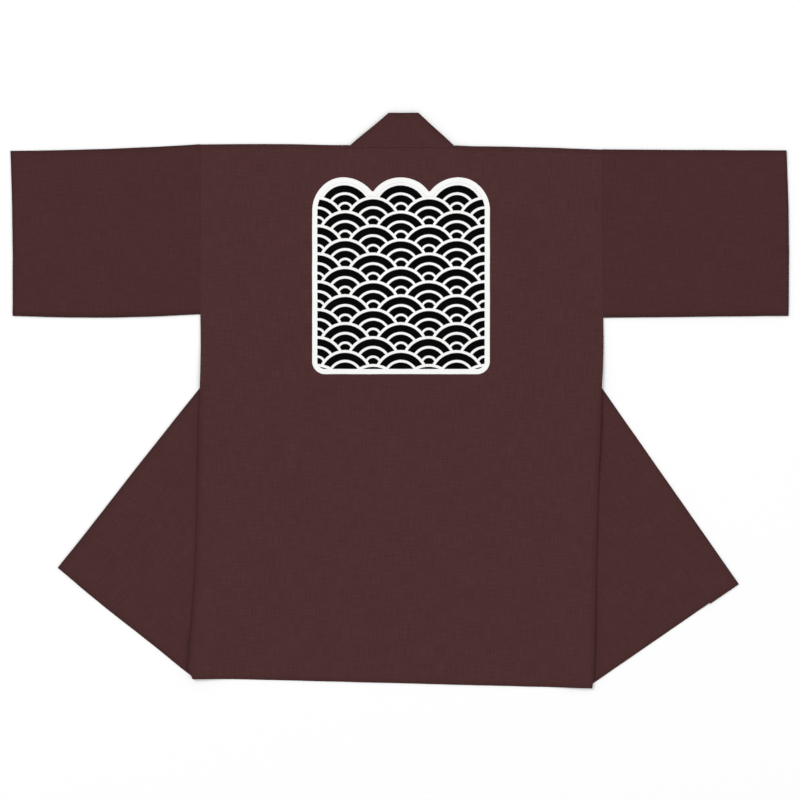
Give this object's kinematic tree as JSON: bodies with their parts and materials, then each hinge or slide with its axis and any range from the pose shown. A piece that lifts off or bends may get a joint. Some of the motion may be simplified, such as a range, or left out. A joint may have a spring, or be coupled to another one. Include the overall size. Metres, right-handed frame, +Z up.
{
  "type": "happi coat",
  "caption": "Open-fronted cotton festival coat laid flat, back up, with wide straight sleeves, a stitched band collar and both fronts turned out below the side slits",
  "frame": {"origin": "on the surface that the coat lies on, under the middle of its bounding box", "axes": "+X along the sleeves, towards the wearer's right; +Y from the hem to the neck; +Z up, out of the coat's back"},
  "size_m": [1.228, 0.9087, 0.0072],
  "materials": {
    "back": "matt maroon-brown plain-weave cotton with fine slubs; black and white traditional pattern printed below the neck",
    "front_left": "matt maroon-brown plain-weave cotton with fine slubs",
    "front_right": "matt maroon-brown plain-weave cotton with fine slubs",
    "sleeve_left": "matt maroon-brown plain-weave cotton with fine slubs",
    "sleeve_right": "matt maroon-brown plain-weave cotton with fine slubs",
    "collar": "matt maroon-brown plain-weave cotton, doubled, with a stitched edge"
  },
  "bodies": {
    "root": {"back": "back", "front_left": "front_left", "front_right": "front_right", "sleeve_left": "sleeve_left", "sleeve_right": "sleeve_right", "collar": "collar"}
  },
  "joints": []
}
